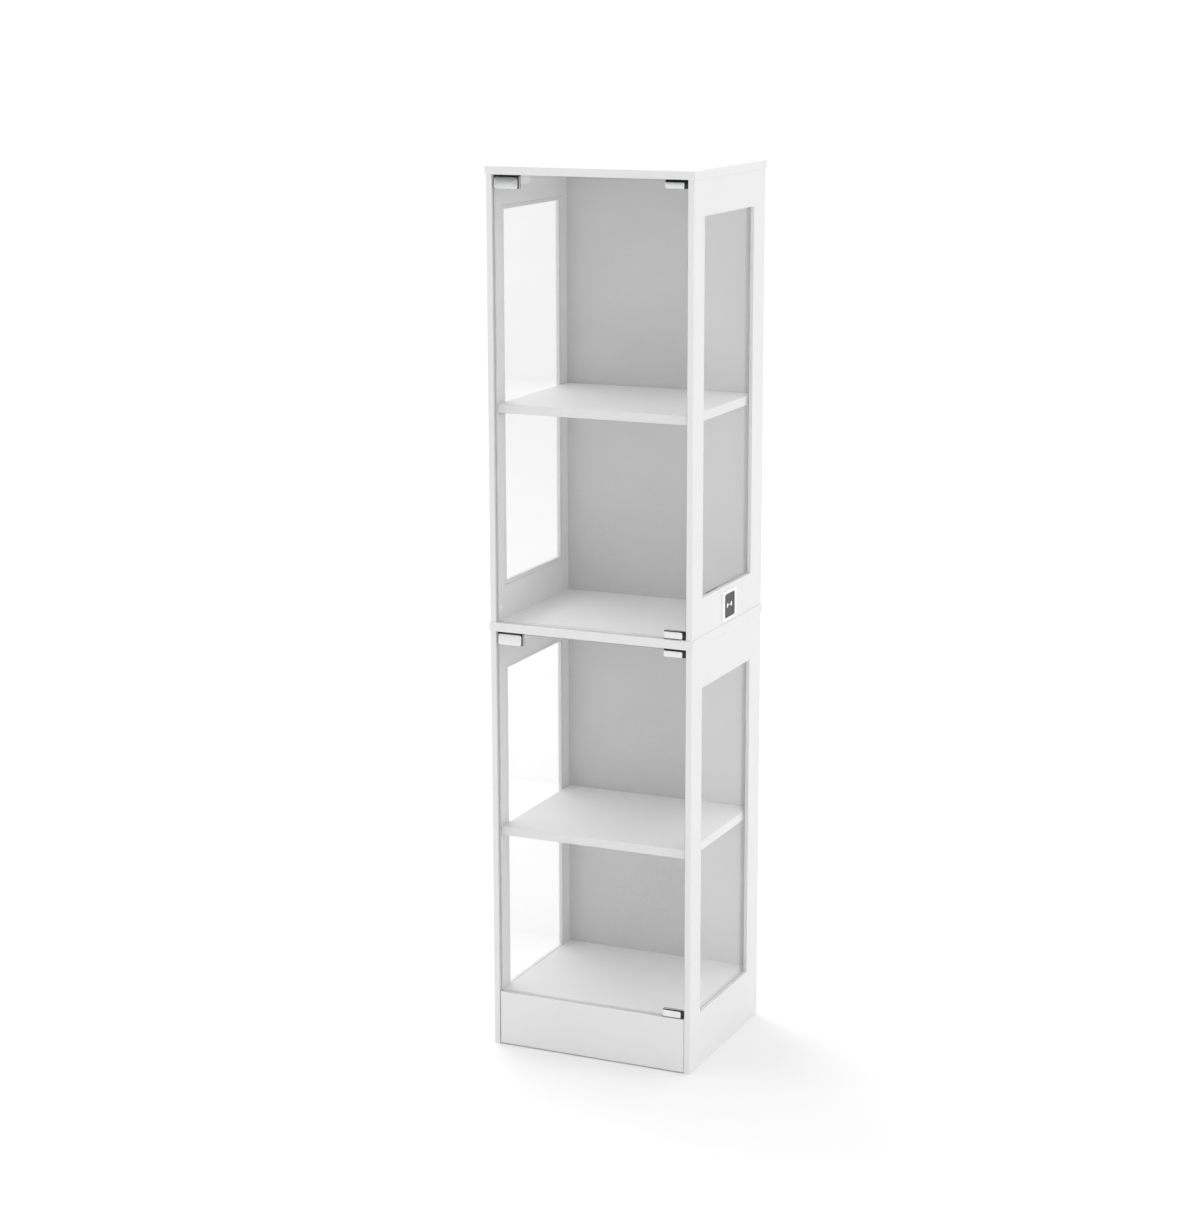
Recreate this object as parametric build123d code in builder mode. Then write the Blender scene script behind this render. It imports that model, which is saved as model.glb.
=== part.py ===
"""A tall two-stage bookcase with glazed sides and a pivot-hung glass door on each stage.

Millimetres. X runs to the right, Y to the rear and Z up. The origin is on the floor, under the
middle of the top board. Both doors are hinged on the right and open to the front.
"""

import os

from build123d import *

os.makedirs("parts", exist_ok=True)

LEFT, RIGHT = -1, 1
DOWN, UP = -1, 1

# Overall size, over the top board
width = 440.0
depth = 380.0
height = 1800.0

# Boards
overhang = 2.0  # top and middle boards past the side panels, all round
top_board_t = 16.0
board_t = 18.0
side_t = 12.0
back_t = 4.0
middle_top = 895.0  # upper face of the middle board
base_top = 114.0  # upper face of the bottom board, level with the toe kick
edge_radius = 1.0  # softened edges of the painted boards

side_x = width / 2 - overhang
inner_x = side_x - side_t
mid_side_x = side_x - side_t / 2
front_y = -depth / 2 + overhang
rear_y = depth / 2 - overhang
top_under = height - top_board_t
middle_under = middle_top - board_t
base_under = base_top - board_t
base_mid_z = base_top - board_t / 2

# Windows in the side panels, and the panes in their rabbets
window_y = (front_y + 55, rear_y - 61)
upper_window = (971.0, 1713.0)
lower_window = (base_top, 790.0)
rabbet_w = 8.0
pane_t = 4.0
pane_play = 0.5  # pane edge to rabbet wall
pane_sink = 0.1  # pane below the inner face
tape_t = 0.5
tape_w = 6.0

# Back panels, held in grooves
back_front_y = 162.0
groove_play = 0.1
groove_depth = 4.0
back_bite = 3.5  # back panel into each groove
groove_y = (back_front_y - groove_play, back_front_y + back_t + groove_play)

# Shelves on pins
shelf_front_y = -171.0
shelf_gap = 1.0  # shelf to each side panel
upper_shelf_top = 1334.5
lower_shelf_top = 465.0
shelf_pin_r = 2.5
shelf_pin_flange = (4.0, 0.8)  # radius, thickness
shelf_pin_bite = 8.5
shelf_pin_reach = 9.0
shelf_pin_rows = (-155.0, 150.0)

# Knock-down fittings: a cam in one board draws in a bolt that is screwed into the other
cam_setback = 24.0  # cam centre to the end of its board
cam_play = 0.1
side_cam = (5.9, 9.2)  # radius, length
side_cam_sink = 0.2
side_cam_rows = (-162.0, 148.0)
base_cam = (7.4, 12.4)
base_cam_sink = 0.4
base_cam_rows = (-155.0, 150.0)
base_cam_x = inner_x - cam_setback
cap_size = (7.0, 0.8)
bolt_thread = (2.5, 8.0)
bolt_collar = (3.2, 2.0)
bolt_shank_r = 2.0
bolt_head = (2.8, 3.0)
bolt_play = 0.4  # bolt in the cam
bolt_hole_r = 3.5

# Dowels
dowel_r = 3.0
dowel_bite = 8.5  # hole in the top or middle board
dowel_seat = 14.0  # hole in the side panel
dowel_play = 0.5  # at each end
upper_dowel_rows = (-100.0, 90.0)
lower_dowel_rows = (-60.0, 50.0)

# Wood screws
screw_r = 1.5
screw_head = (2.9, 1.8)
screw_bite = 10.0
screw_play = 0.2

# Toe kick, and the corner blocks behind it
toe_front_y = front_y + 1
toe_back_y = toe_front_y + 16
toe_side_gap = 1.5
toe_floor_gap = 2.0
corner_x = 120.0
corner_half = 15.0
corner_size = 22.0
corner_bevel = 6.0
corner_screw_x = 8.0  # each side of a block's middle
corner_screw_in = 13.0  # from the block's square corner

# Anti-tip bracket behind the upper back panel
bracket_half = 40.0
bracket_y = (168.0, 187.0)
bracket_t = 2.0
bracket_drop = 36.0
bracket_screws = ((-25.0, 176.0), (25.0, 176.0))
bracket_hole_r = 3.0
bracket_hole_z = top_under - 22

# Door glass
glass_y = -180.0  # middle of the glass
glass_t = 5.0
glass_x = 203.0
liner_t = 0.5
clip_gap = 0.8  # clip to the board
clip_bridge = 2.2  # clip wall over the glass edge
glass_inset = clip_gap + clip_bridge + liner_t
glass_faces = (glass_y - glass_t / 2, glass_y + glass_t / 2)
liner_faces = (glass_faces[0] - liner_t, glass_faces[1] + liner_t)
cover_t = 1.3  # bright cover on each clip's front
clip_faces = (liner_faces[0] - 0.7, liner_faces[1] + 3)
cover_faces = (clip_faces[0] - cover_t, clip_faces[0])

# Hinge clips, pivots and strike clips
hinge_clip_x = (157.5, 201.0)
hinge_clip_h = 16.5
hinge_cover_x = (157.5, 196.5)
core_x = 190.0  # the clip is solid from here to its right end
notch_gap = 0.3
clip_edge_radius = 0.5
pivot_x = 195.5
pivot_r = 2.0
pivot_in_clip = 9.0
pivot_in_bush = 5.0
pivot_play = 0.05
bush_r = 3.5
bush_l = 6.0
bush_flange = (5.0, 0.5)
strike_clip_x = (-202.5, -149.0)
strike_clip_h = 26.0
strike_cover_x = (-202.5, -151.5)
# What shows of a clip's body beside its cover: towards the board, and away from it
strike_rims = (4.0, 0.0)
top_hinge_rims = (4.5, 0.0)
bottom_hinge_rims = (0.9, 1.8)
brow_radius = 3.0
grub_r = 2.0
grub_play = 0.05

# Push latches under the boards, behind the strike clips
latch_x = (-190.0, -160.0)
latch_y = (-168.0, -106.0)
latch_h = 20.0
latch_screw_rows = (-126.0, -113.0)
latch_bore_end_y = -136.0
plunger_x = -175.0
plunger_r = 4.0
plunger_play = 0.1
plunger_drop = 11.0  # plunger axis below the board
plunger_y = (-171.7, -140.0)
magnet_t = 2.1

# Socket on the right side panel
socket_y = 4.0
socket_z = 931.0
bezel_size = (70.5, 59.5)
bezel_t = 4.0
insert_size = (53.5, 48.5)
insert_sink = 1.0
cutout_play = 0.5
slot_size = (8.5, 10.0)
slot_pitch = 20.0
slot_depth = 4.0
slot_link = 1.6  # height of the channel that joins the slots
shutter_sink = 0.5
shutter_play = 0.05
housing_size = (58.0, 52.0)
housing_depth = 28.0
housing_wall = 2.0

stages = {
    "upper": (middle_top, top_under, upper_window, upper_shelf_top),
    "lower": (base_top, middle_under, lower_window, lower_shelf_top),
}
sides = {"left": LEFT, "right": RIGHT}


def save(piece, name):
    """Label a finished piece and write its STEP file."""
    piece.part.label = name
    export_step(piece.part, f"parts/{name}.step")


def block(x, y, z, mode=Mode.ADD):
    """A box between two values of x, of y and of z."""
    with Locations(((x[0] + x[1]) / 2, (y[0] + y[1]) / 2, (z[0] + z[1]) / 2)):
        Box(abs(x[1] - x[0]), abs(y[1] - y[0]), abs(z[1] - z[0]), mode=mode)


def rod(start, way, radius, length, mode=Mode.ADD):
    """A cylinder from the point start, along the unit vector way."""
    with Locations(Plane(origin=start, z_dir=way)):
        Cylinder(radius, length, align=(Align.CENTER, Align.CENTER, Align.MIN), mode=mode)


def window_rectangle(window, grow=0.0, mode=Mode.ADD):
    """A side window's rectangle in a YZ sketch, grown on every side."""
    with Locations((sum(window_y) / 2, sum(window) / 2)):
        Rectangle(window_y[1] - window_y[0] + 2 * grow, window[1] - window[0] + 2 * grow, mode=mode)


# Side panels


def side_holes(side, end, way, dowel_rows):
    """Cam, bolt and dowel holes at one end of a side panel. way points out of that end."""
    for y in side_cam_rows:
        face = (side * inner_x, y, end - way * cam_setback)
        rod(face, (side, 0, 0), side_cam[0] + cam_play, side_cam[1] + side_cam_sink, Mode.SUBTRACT)
        rod((side * mid_side_x, y, end), (0, 0, -way), bolt_hole_r, cam_setback, Mode.SUBTRACT)
    for y in dowel_rows:
        rod((side * mid_side_x, y, end), (0, 0, -way), dowel_r, dowel_seat, Mode.SUBTRACT)


def side_panel(side, low, high, window, shelf_top):
    """A side board with its window and rabbet, back groove and shelf pin holes."""
    with BuildSketch(Plane.YZ.offset(side * inner_x)) as outline:
        with Locations((0, (low + high) / 2)):
            Rectangle(rear_y - front_y, high - low)
        window_rectangle(window, mode=Mode.SUBTRACT)
    extrude(outline.sketch, amount=side * side_t)
    with BuildSketch(Plane.YZ.offset(side * inner_x)) as rabbet:
        window_rectangle(window, rabbet_w)
    extrude(rabbet.sketch, amount=side * (pane_t + tape_t + pane_sink), mode=Mode.SUBTRACT)
    block((side * inner_x, side * (inner_x + groove_depth)), groove_y, (low, high), Mode.SUBTRACT)
    for y in shelf_pin_rows:
        pin_start = (side * inner_x, y, shelf_top - board_t - shelf_pin_r)
        rod(pin_start, (side, 0, 0), shelf_pin_r, shelf_pin_bite, Mode.SUBTRACT)


def soften_outside(panel, side):
    """Round the upright edges of a side panel's outer face and of its window."""
    outer_face = panel.faces().filter_by(Axis.X).sort_by(Axis.X)[-1 if side == RIGHT else 0]
    fillet(outer_face.edges().filter_by(Axis.Z), edge_radius)


for word, side in sides.items():
    with BuildPart() as upper_panel:
        side_panel(side, middle_top, top_under, upper_window, upper_shelf_top)
        soften_outside(upper_panel, side)
        side_holes(side, top_under, UP, upper_dowel_rows)
        side_holes(side, middle_top, DOWN, upper_dowel_rows)
        if side == RIGHT:
            with BuildSketch(Plane.YZ.offset(inner_x)):
                with Locations((socket_y, socket_z)):
                    Rectangle(insert_size[0] + 2 * cutout_play, insert_size[1] + 2 * cutout_play)
            extrude(amount=side_t, mode=Mode.SUBTRACT)
    save(upper_panel, f"side_panel_upper_{word}")

    with BuildPart() as lower_panel:
        side_panel(side, 0, middle_under, lower_window, lower_shelf_top)
        soften_outside(lower_panel, side)
        side_holes(side, middle_under, UP, lower_dowel_rows)
        for y in base_cam_rows:
            bolt_start = (side * inner_x, y, base_mid_z)
            rod(bolt_start, (side, 0, 0), *bolt_thread, mode=Mode.SUBTRACT)
    save(lower_panel, f"side_panel_lower_{word}")

# Panes in the side windows, and the double-sided tape that holds them

for stage, (low, high, window, shelf_top) in stages.items():
    for word, side in sides.items():
        with BuildPart() as side_pane:
            with BuildSketch(Plane.YZ.offset(side * (inner_x + pane_sink))):
                window_rectangle(window, rabbet_w - pane_play)
            extrude(amount=side * pane_t)
            chamfer(side_pane.edges(), 0.3)
        save(side_pane, f"side_pane_{stage}_{word}")

with BuildPart() as glazing_tapes:
    for low, high, window, shelf_top in stages.values():
        for side in sides.values():
            with BuildSketch(Plane.YZ.offset(side * (inner_x + pane_sink + pane_t))):
                window_rectangle(window, rabbet_w - pane_play - 0.5)
                window_rectangle(window, rabbet_w - pane_play - 0.5 - tape_w, Mode.SUBTRACT)
            extrude(amount=side * tape_t)
save(glazing_tapes, "glazing_tapes")

# Top, middle and bottom boards


def overlay_board(under, thickness):
    """A board laid over the side panels."""
    with BuildSketch(Plane.XY.offset(under)) as outline:
        Rectangle(width, depth)
    extrude(outline.sketch, amount=thickness)


def joint_holes(face, way, dowel_rows):
    """Bolt and dowel holes over the side panels, and the back panel's groove, cut into one face."""
    for side in sides.values():
        for y in side_cam_rows:
            rod((side * mid_side_x, y, face), (0, 0, way), *bolt_thread, mode=Mode.SUBTRACT)
        for y in dowel_rows:
            rod((side * mid_side_x, y, face), (0, 0, way), dowel_r, dowel_bite, Mode.SUBTRACT)
    groove_reach = inner_x + groove_depth
    block((-groove_reach, groove_reach), groove_y, (face, face + way * groove_depth), Mode.SUBTRACT)


def door_holes_above(face):
    """Holes in a board over a door, for its hinge bush and its push latch's screws."""
    rod((pivot_x, glass_y, face), (0, 0, UP), bush_r, bush_l, Mode.SUBTRACT)
    for y in latch_screw_rows:
        rod((plunger_x, y, face), (0, 0, UP), screw_r, screw_bite, Mode.SUBTRACT)


with BuildPart() as top_board:
    overlay_board(top_under, top_board_t)
    fillet(top_board.edges(), edge_radius)
    joint_holes(top_under, UP, upper_dowel_rows)
    door_holes_above(top_under)
    for x, y in bracket_screws:
        rod((x, y, top_under), (0, 0, UP), screw_r, screw_bite, Mode.SUBTRACT)
save(top_board, "top_board")

with BuildPart() as middle_board:
    overlay_board(middle_under, board_t)
    fillet(middle_board.edges(), edge_radius)
    joint_holes(middle_top, DOWN, upper_dowel_rows)
    joint_holes(middle_under, UP, lower_dowel_rows)
    door_holes_above(middle_under)
    rod((pivot_x, glass_y, middle_top), (0, 0, DOWN), bush_r, bush_l, Mode.SUBTRACT)
save(middle_board, "middle_board")


def corner_block_screws():
    """Where each corner block screw's head starts, and the way that the screw points."""
    for side in sides.values():
        for x in (side * corner_x - corner_screw_x, side * corner_x + corner_screw_x):
            yield (x, toe_back_y + corner_screw_in, base_under - corner_size), (0, 0, UP)
        yield (side * corner_x, toe_back_y + corner_size, base_under - corner_screw_in), (0, -1, 0)


with BuildPart() as bottom_board:
    block((-inner_x, inner_x), (toe_back_y, rear_y), (base_under, base_top))
    block((-inner_x, inner_x), groove_y, (base_top - groove_depth, base_top), Mode.SUBTRACT)
    for side in sides.values():
        for y in base_cam_rows:
            cam_start = (side * base_cam_x, y, base_under)
            rod(cam_start, (0, 0, UP), base_cam[0] + cam_play, base_cam[1] + base_cam_sink, Mode.SUBTRACT)
            rod((side * inner_x, y, base_mid_z), (-side, 0, 0), bolt_hole_r, cam_setback, Mode.SUBTRACT)
    for head, way in corner_block_screws():
        rod(head, way, screw_r, corner_size + screw_bite, Mode.SUBTRACT)
save(bottom_board, "bottom_board")

with BuildPart() as toe_kick:
    toe_reach = inner_x - toe_side_gap
    block((-toe_reach, toe_reach), (toe_front_y, toe_back_y), (toe_floor_gap, base_top))
    fillet(toe_kick.faces().sort_by(Axis.Y)[0].edges(), edge_radius)
    rod((pivot_x, glass_y, base_top), (0, 0, DOWN), bush_r, bush_l, Mode.SUBTRACT)
    for head, way in corner_block_screws():
        rod(head, way, screw_r, corner_size + screw_bite, Mode.SUBTRACT)
save(toe_kick, "toe_kick")

# Shelves with their pins, and back panels

for stage, (low, high, window, shelf_top) in stages.items():
    shelf_under = shelf_top - board_t
    with BuildPart() as shelf:
        shelf_reach = inner_x - shelf_gap
        block((-shelf_reach, shelf_reach), (shelf_front_y, back_front_y - 1), (shelf_under, shelf_top))
        fillet(shelf.edges().filter_by(Axis.X), edge_radius)
    save(shelf, f"shelf_{stage}")

    with BuildPart() as shelf_pins:
        for side in sides.values():
            for y in shelf_pin_rows:
                pin_z = shelf_under - shelf_pin_r
                pin_end = (side * (inner_x + shelf_pin_bite), y, pin_z)
                rod(pin_end, (-side, 0, 0), shelf_pin_r, shelf_pin_bite + shelf_pin_reach)
                rod((side * inner_x, y, pin_z), (-side, 0, 0), *shelf_pin_flange)
    save(shelf_pins, f"shelf_pins_{stage}")

    with BuildPart() as back_panel:
        back_reach = inner_x + back_bite
        back_y = (back_front_y, back_front_y + back_t)
        block((-back_reach, back_reach), back_y, (low - back_bite, high + back_bite))
    save(back_panel, f"back_panel_{stage}")

# Cams, cam bolts, caps and dowels


def cam_lock(start, way, radius, length, bolt_way, bolt_drop):
    """A cam with a cross recess, and a mouth towards bolt_way for the bolt's neck and head."""
    rod(start, way, radius, length)
    with Locations(Plane(origin=start, z_dir=way)):
        Box(radius, 1.2, 3, mode=Mode.SUBTRACT)
        Box(1.2, radius, 3, mode=Mode.SUBTRACT)
    head = Vector(start) + Vector(way) * bolt_drop
    rod(head, bolt_way, bolt_shank_r + bolt_play, 2 * radius, Mode.SUBTRACT)
    pocket_end = head - Vector(bolt_way) * (bolt_head[1] / 2 + bolt_play)
    rod(pocket_end, bolt_way, bolt_head[0] + bolt_play, bolt_head[1] + 2 * bolt_play, Mode.SUBTRACT)


def cam_bolt(face, way):
    """A bolt screwed into the board behind face along way, with its head in the cam."""
    back = Vector(way) * -1
    rod(face, way, *bolt_thread)
    rod(face, back, *bolt_collar)
    rod(face, back, bolt_shank_r, cam_setback)
    rod(Vector(face) + back * (cam_setback - bolt_head[1] / 2), back, *bolt_head)


side_joints = [
    (side, y, end, way)
    for side in sides.values()
    for y in side_cam_rows
    for end, way in ((top_under, UP), (middle_top, DOWN), (middle_under, UP))
]
base_joints = [(side, y) for side in sides.values() for y in base_cam_rows]

with BuildPart() as cam_locks_side:
    for side, y, end, way in side_joints:
        cam_start = (side * (inner_x + side_cam_sink), y, end - way * cam_setback)
        cam_lock(cam_start, (side, 0, 0), *side_cam, (0, 0, way), side_t / 2 - side_cam_sink)
save(cam_locks_side, "cam_locks_side")

with BuildPart() as cam_bolts_side:
    for side, y, end, way in side_joints:
        cam_bolt((side * mid_side_x, y, end), (0, 0, way))
save(cam_bolts_side, "cam_bolts_side")

with BuildPart() as cam_caps:
    for side, y, end, way in side_joints:
        rod((side * inner_x, y, end - way * cam_setback), (-side, 0, 0), *cap_size)
save(cam_caps, "cam_caps")

with BuildPart() as cam_locks_base:
    for side, y in base_joints:
        cam_start = (side * base_cam_x, y, base_under + base_cam_sink)
        cam_lock(cam_start, (0, 0, UP), *base_cam, (side, 0, 0), board_t / 2 - base_cam_sink)
save(cam_locks_base, "cam_locks_base")

with BuildPart() as cam_bolts_base:
    for side, y in base_joints:
        cam_bolt((side * inner_x, y, base_mid_z), (side, 0, 0))
save(cam_bolts_base, "cam_bolts_base")

dowel_joints = {
    "dowels_top": [(top_under, UP, upper_dowel_rows)],
    "dowels_middle": [(middle_top, DOWN, upper_dowel_rows), (middle_under, UP, lower_dowel_rows)],
}
for name, joints in dowel_joints.items():
    with BuildPart() as dowels:
        for end, way, rows in joints:
            for side in sides.values():
                for y in rows:
                    tip = (side * mid_side_x, y, end + way * (dowel_bite - dowel_play))
                    rod(tip, (0, 0, -way), dowel_r, dowel_bite + dowel_seat - 2 * dowel_play)
        chamfer(dowels.edges().filter_by(GeomType.CIRCLE), 0.6)
    save(dowels, name)

# Corner blocks behind the toe kick, and wood screws

with BuildPart() as corner_blocks:
    for side in sides.values():
        with BuildSketch(Plane.YZ.offset(side * corner_x - corner_half)):
            with BuildLine():
                Polyline(
                    (toe_back_y, base_under),
                    (toe_back_y + corner_size, base_under),
                    (toe_back_y + corner_size, base_under - corner_size + corner_bevel),
                    (toe_back_y + corner_size - corner_bevel, base_under - corner_size),
                    (toe_back_y, base_under - corner_size),
                    close=True,
                )
            make_face()
        extrude(amount=2 * corner_half)
    for head, way in corner_block_screws():
        rod(head, way, screw_r + screw_play, corner_size, Mode.SUBTRACT)
        rod(head, way, screw_head[0] + screw_play, screw_head[1], Mode.SUBTRACT)
save(corner_blocks, "corner_blocks")


def wood_screw(head, way, length):
    """A pan-head screw from the outer face of its head, with a cross recess."""
    rod(head, way, *screw_head)
    rod(head, way, screw_r, length)
    with Locations(Plane(origin=head, z_dir=way)):
        Box(3.4, 0.8, 2, mode=Mode.SUBTRACT)
        Box(0.8, 3.4, 2, mode=Mode.SUBTRACT)


with BuildPart() as corner_block_screw_set:
    for head, way in corner_block_screws():
        wood_screw(head, way, corner_size + screw_bite)
save(corner_block_screw_set, "corner_block_screws")

# Anti-tip bracket: an angle under the top board, with a hole for the wall screw or strap

with BuildPart() as wall_bracket:
    leg_y = (bracket_y[1] - bracket_t, bracket_y[1])
    block((-bracket_half, bracket_half), bracket_y, (top_under - bracket_t, top_under))
    block((-bracket_half, bracket_half), leg_y, (top_under - bracket_drop, top_under))
    fillet(wall_bracket.edges().filter_by(Axis.Y).group_by(Axis.Z)[0], 6)
    for x, y in bracket_screws:
        rod((x, y, top_under), (0, 0, DOWN), screw_r + screw_play, bracket_t, Mode.SUBTRACT)
    rod((0, bracket_y[1], bracket_hole_z), (0, -1, 0), bracket_hole_r, bracket_t, Mode.SUBTRACT)
save(wall_bracket, "wall_bracket")

with BuildPart() as wall_bracket_screws:
    for x, y in bracket_screws:
        head_z = top_under - bracket_t - screw_head[1]
        wood_screw((x, y, head_z), (0, 0, UP), screw_head[1] + bracket_t + screw_bite)
save(wall_bracket_screws, "wall_bracket_screws")

# Doors

latch_tip_y = plunger_y[0] - magnet_t


def clip_channel(x, glass_end_x, board_z, way, clip_h):
    """A U-shaped clip over a horizontal edge of the glass.

    board_z is the board's face that the clip turns against, and way points from the glass to it.
    The slot for the glass runs from the clip's left end to glass_end_x.
    """
    outer_z = board_z - way * clip_gap
    block(x, clip_faces, (outer_z, outer_z - way * clip_h))
    slot_z = (outer_z - way * clip_bridge, outer_z - way * clip_h)
    block((x[0], glass_end_x), liner_faces, slot_z, Mode.SUBTRACT)


def clip_cover(x, board_z, way, clip_h, rims):
    """The bright plate on the front of a clip, which leaves rims of its body bare."""
    near, far = clip_gap + rims[0], clip_gap + clip_h - rims[1]
    block(x, cover_faces, (board_z - way * near, board_z - way * far))


def clip_liner(x, board_z, way, clip_h):
    """The plastic liner between a clip and the glass."""
    slot_z = (board_z - way * (clip_gap + clip_bridge), board_z - way * (clip_gap + clip_h))
    block(x, liner_faces, slot_z)
    block(x, glass_faces, (board_z - way * glass_inset, slot_z[1]), Mode.SUBTRACT)


def grub_places(x_values, board_z, way, clip_h):
    """Outer ends of a clip's grub screws."""
    z = board_z - way * (clip_gap + clip_h / 2 + 1)
    return [(x, clip_faces[1], z) for x in x_values]


hinge_grub_x = (169.0,)
strike_grub_x = (-190.0, -161.5)

for stage, (low, high, window, shelf_top) in stages.items():
    ends = {"top": (high, UP), "bottom": (low, DOWN)}
    hinge_grubs = [grub for end in ends.values() for grub in grub_places(hinge_grub_x, *end, hinge_clip_h)]
    strike_grubs = grub_places(strike_grub_x, high, UP, strike_clip_h)

    with BuildPart() as door_glass:
        block((-glass_x, glass_x), glass_faces, (low + glass_inset, high - glass_inset))
        for face, way in ends.values():
            notch_z = (face, face - way * (clip_gap + hinge_clip_h + notch_gap))
            block((core_x - notch_gap, glass_x), glass_faces, notch_z, Mode.SUBTRACT)
        chamfer(door_glass.edges().filter_by(Axis.Z).sort_by(Axis.X)[:2], 0.5)
    save(door_glass, f"door_glass_{stage}")

    for word, (face, way) in ends.items():
        with BuildPart() as hinge_clip:
            clip_channel(hinge_clip_x, core_x, face, way, hinge_clip_h)
            fillet(hinge_clip.edges().filter_by(Axis.Z).group_by(Axis.X)[-1], clip_edge_radius)
            pin_start = (pivot_x, glass_y, face - way * clip_gap)
            rod(pin_start, (0, 0, -way), pivot_r, pivot_in_clip, Mode.SUBTRACT)
            for place in grub_places(hinge_grub_x, face, way, hinge_clip_h):
                rod(place, (0, -1, 0), grub_r + grub_play, clip_faces[1] - liner_faces[1], Mode.SUBTRACT)
        save(hinge_clip, f"hinge_clip_{stage}_{word}")

    with BuildPart() as hinge_pins:
        for face, way in ends.values():
            pin_start = (pivot_x, glass_y, face - way * (clip_gap + pivot_in_clip))
            rod(pin_start, (0, 0, way), pivot_r, pivot_in_clip + clip_gap + pivot_in_bush)
    save(hinge_pins, f"hinge_pins_{stage}")

    with BuildPart() as hinge_bushes:
        for face, way in ends.values():
            rod((pivot_x, glass_y, face), (0, 0, way), bush_r, bush_l)
            rod((pivot_x, glass_y, face), (0, 0, -way), *bush_flange)
            bore_start = (pivot_x, glass_y, face - way * bush_flange[1])
            rod(bore_start, (0, 0, way), pivot_r + pivot_play, bush_l + bush_flange[1], Mode.SUBTRACT)
    save(hinge_bushes, f"hinge_bushes_{stage}")

    with BuildPart() as strike_clip:
        clip_channel(strike_clip_x, strike_clip_x[1], high, UP, strike_clip_h)
        top_edges = strike_clip.edges().filter_by(Axis.X).group_by(Axis.Z)[-1]
        fillet(top_edges.sort_by(Axis.Y)[0], brow_radius)
        for place in strike_grubs:
            rod(place, (0, -1, 0), grub_r + grub_play, clip_faces[1] - liner_faces[1], Mode.SUBTRACT)
    save(strike_clip, f"strike_clip_{stage}")

    with BuildPart() as clip_covers:
        for face, way in ends.values():
            rims = top_hinge_rims if way == UP else bottom_hinge_rims
            clip_cover(hinge_cover_x, face, way, hinge_clip_h, rims)
        clip_cover(strike_cover_x, high, UP, strike_clip_h, strike_rims)
        fillet(clip_covers.faces().group_by(Axis.Y)[0].edges(), clip_edge_radius)
    save(clip_covers, f"clip_covers_{stage}")

    with BuildPart() as clip_liners:
        for face, way in ends.values():
            clip_liner((hinge_clip_x[0], core_x - notch_gap), face, way, hinge_clip_h)
        clip_liner(strike_clip_x, high, UP, strike_clip_h)
    save(clip_liners, f"clip_liners_{stage}")

    with BuildPart() as grub_screws:
        for place in hinge_grubs + strike_grubs:
            rod(place, (0, -1, 0), grub_r, clip_faces[1] - liner_faces[1])
            with BuildSketch(Plane(origin=place, z_dir=(0, -1, 0))):
                RegularPolygon(1.0, 6)
            extrude(amount=1.5, mode=Mode.SUBTRACT)
    save(grub_screws, f"grub_screws_{stage}")

    # Push latch: housing, plunger with its magnet, and the screws that hold the housing
    plunger_z = high - plunger_drop
    with BuildPart() as latch_housing:
        block(latch_x, latch_y, (high - latch_h, high))
        fillet(latch_housing.edges().filter_by(Axis.Z), 3)
        bore_start = (plunger_x, latch_y[0], plunger_z)
        rod(bore_start, (0, 1, 0), plunger_r + plunger_play, latch_bore_end_y - latch_y[0], Mode.SUBTRACT)
        for y in latch_screw_rows:
            rod((plunger_x, y, high - latch_h), (0, 0, UP), screw_r + screw_play, latch_h, Mode.SUBTRACT)
            rod((plunger_x, y, high - latch_h), (0, 0, UP), screw_head[0] + screw_play, 3, Mode.SUBTRACT)
    save(latch_housing, f"latch_housing_{stage}")

    with BuildPart() as latch_plunger:
        rod((plunger_x, plunger_y[0], plunger_z), (0, 1, 0), plunger_r, plunger_y[1] - plunger_y[0])
    save(latch_plunger, f"latch_plunger_{stage}")

    with BuildPart() as latch_magnet:
        rod((plunger_x, latch_tip_y, plunger_z), (0, 1, 0), plunger_r, magnet_t)
        chamfer(latch_magnet.edges().filter_by(GeomType.CIRCLE).sort_by(Axis.Y)[0], 0.3)
    save(latch_magnet, f"latch_magnet_{stage}")

with BuildPart() as latch_screws:
    for low, high, window, shelf_top in stages.values():
        for y in latch_screw_rows:
            head_z = high - latch_h + 3 - screw_head[1]
            wood_screw((plunger_x, y, head_z), (0, 0, UP), high - head_z + screw_bite)
save(latch_screws, "latch_screws")

# Socket: bezel, insert with two slots and the shutter that closes them, and the housing behind the panel

insert_front_x = side_x + bezel_t - insert_sink
slot_places = [(socket_y - slot_pitch / 2, socket_z), (socket_y + slot_pitch / 2, socket_z)]

with BuildPart() as socket_bezel:
    with BuildSketch(Plane.YZ.offset(side_x)):
        with Locations((socket_y, socket_z)):
            RectangleRounded(*bezel_size, 5)
            RectangleRounded(insert_size[0] + 0.2, insert_size[1] + 0.2, 5.1, mode=Mode.SUBTRACT)
    extrude(amount=bezel_t)
    fillet(socket_bezel.faces().sort_by(Axis.X)[-1].outer_wire().edges(), 1.5)
save(socket_bezel, "socket_bezel")

with BuildPart() as socket_insert:
    with BuildSketch(Plane.YZ.offset(inner_x)):
        with Locations((socket_y, socket_z)):
            RectangleRounded(*insert_size, 5)
    extrude(amount=insert_front_x - inner_x)
    with BuildSketch(Plane.YZ.offset(insert_front_x - slot_depth)):
        with Locations(*slot_places):
            SlotOverall(slot_size[1], slot_size[0], rotation=90)
        with Locations((socket_y, socket_z)):
            Rectangle(slot_pitch, slot_link)
    extrude(amount=slot_depth, mode=Mode.SUBTRACT)
save(socket_insert, "socket_insert")

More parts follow.
